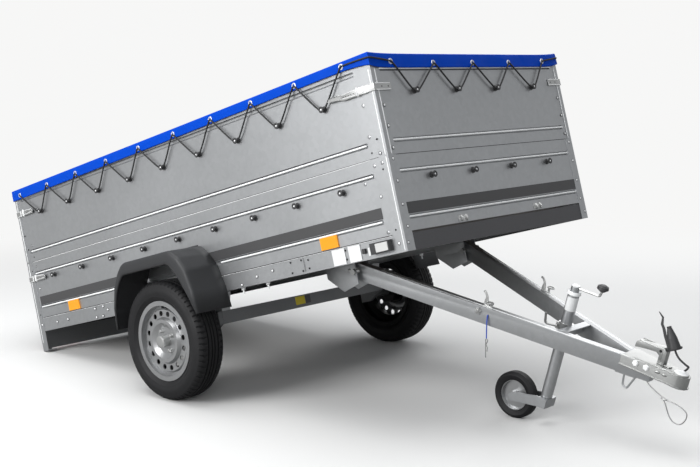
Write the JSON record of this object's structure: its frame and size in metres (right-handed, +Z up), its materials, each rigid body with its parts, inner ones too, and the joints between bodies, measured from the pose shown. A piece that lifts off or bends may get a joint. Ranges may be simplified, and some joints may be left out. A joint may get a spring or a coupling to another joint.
{
  "type": "tipping utility trailer",
  "caption": "Single-axle box trailer parked with its bed tipped: double galvanised side boards, flat tarpaulin, V drawbar with ball coupling and jockey wheel, opening tailgate.",
  "frame": {"origin": "centre of the footprint's bounding box, on the ground", "axes": "+X forward to the coupling, +Y to the trailer's left, +Z up"},
  "size_m": [3.6246, 1.6786, 1.5236],
  "materials": {
    "galvanised": "hot-dip galvanised sheet, dull grey with faint spangle",
    "zinc": "bright zinc plating",
    "axle_steel": "dark galvanised and painted steel",
    "plywood": "phenolic-faced plywood, dark brown",
    "tarpaulin": "coated blue tarpaulin, slight sheen",
    "bungee": "woven black shock cord",
    "black_plastic": "moulded black plastic, satin",
    "lamp_red": "red lamp lens",
    "lamp_amber": "amber reflector",
    "lamp_clear": "white marker lens",
    "rim_paint": "silver-painted pressed steel",
    "tyre_rubber": "black tyre rubber",
    "blue_cord": "soft blue cord",
    "steel_cable": "steel cable in a clear sleeve"
  },
  "bodies": {
    "bed": {"axle_beam": "axle_steel", "axle_hangers": "galvanised", "board_latches": "zinc", "bungee_cord": "bungee", "cross_members": "galvanised", "end_sills": "galvanised", "floor_panel": "plywood", "front_posts": "galvanised", "gate_hinges": "galvanised", "hinge_brackets": "galvanised", "hinge_pins": "galvanised", "lower_board_front": "galvanised", "lower_board_left": "galvanised", "lower_board_right": "galvanised", "marker_bodies": "black_plastic", "marker_lenses": "lamp_clear", "mudguard_left": "black_plastic", "mudguard_right": "black_plastic", "pivot_pins": "zinc", "rear_bar": "axle_steel", "rear_lamps": "lamp_red", "rear_posts": "galvanised", "rope_hooks": "black_plastic", "side_rails": "galvanised", "side_reflectors": "lamp_amber", "tarpaulin": "tarpaulin", "trailing_arms": "axle_steel", "upper_board_front": "galvanised", "upper_board_left": "galvanised", "upper_board_rear": "galvanised", "upper_board_right": "galvanised", "upper_posts": "galvanised"},
    "wheel_right": {"tyre_right": "tyre_rubber", "rim_right": "rim_paint", "hub_right": "zinc"},
    "wheel_left": {"tyre_left": "tyre_rubber", "rim_left": "rim_paint", "hub_left": "zinc"},
    "tailgate": {"tailgate": "galvanised"},
    "drawbar": {"drawbar_arm_right": "galvanised", "drawbar_arm_left": "galvanised", "cross_bar": "galvanised", "jockey_clamp": "zinc", "coupling_head": "zinc", "coupling_handle": "zinc", "lock_brackets": "zinc", "cable_hoop": "galvanised", "trailer_plug": "black_plastic", "plug_cable": "black_plastic", "safety_cable": "steel_cable", "clip_strap": "blue_cord", "lock_clip": "zinc"},
    "stand": {"jockey_sleeve": "galvanised", "jockey_crank": "zinc", "crank_knob": "black_plastic"},
    "leg": {"jockey_leg": "zinc"},
    "fork": {"jockey_fork": "galvanised", "jockey_axle": "zinc"},
    "jockey_wheel": {"jockey_rim": "rim_paint", "jockey_tyre": "tyre_rubber"}
  },
  "joints": [
    {"name": "wheel_right_turn", "type": "hinge", "parent": "bed", "child": "wheel_right", "pos_m": [-0.33245, -0.748, 0.273], "axis": [0, 1, 0], "continuous": true},
    {"name": "wheel_left_turn", "type": "hinge", "parent": "bed", "child": "wheel_left", "pos_m": [-0.33245, 0.748, 0.273], "axis": [0, 1, 0], "continuous": true},
    {"name": "tailgate_swing", "type": "hinge", "parent": "bed", "child": "tailgate", "pos_m": [-1.63373, 0, 0.17202], "axis": [0, -1, 0], "range_deg": [0, 110]},
    {"name": "drawbar_tilt", "type": "hinge", "parent": "bed", "child": "drawbar", "pos_m": [0.47874, 0, 0.62335], "axis": [0, -1, 0], "range_deg": [0, 29.4]},
    {"name": "stand_clamp", "type": "slide", "parent": "drawbar", "child": "stand", "axis": [0.2674, 0, 0.9636], "range_m": [-0.1, 0.2]},
    {"name": "stand_crank", "type": "slide", "parent": "stand", "child": "leg", "axis": [-0.2674, 0, -0.9636], "range_m": [0, 0.15]},
    {"name": "stand_swivel", "type": "hinge", "parent": "leg", "child": "fork", "pos_m": [1.24962, 0, 0.40947], "axis": [0.2674, 0, 0.9636], "continuous": true},
    {"name": "jockey_turn", "type": "hinge", "parent": "fork", "child": "jockey_wheel", "pos_m": [1.01847, 0, 0.1], "axis": [0, 1, 0], "continuous": true}
  ]
}
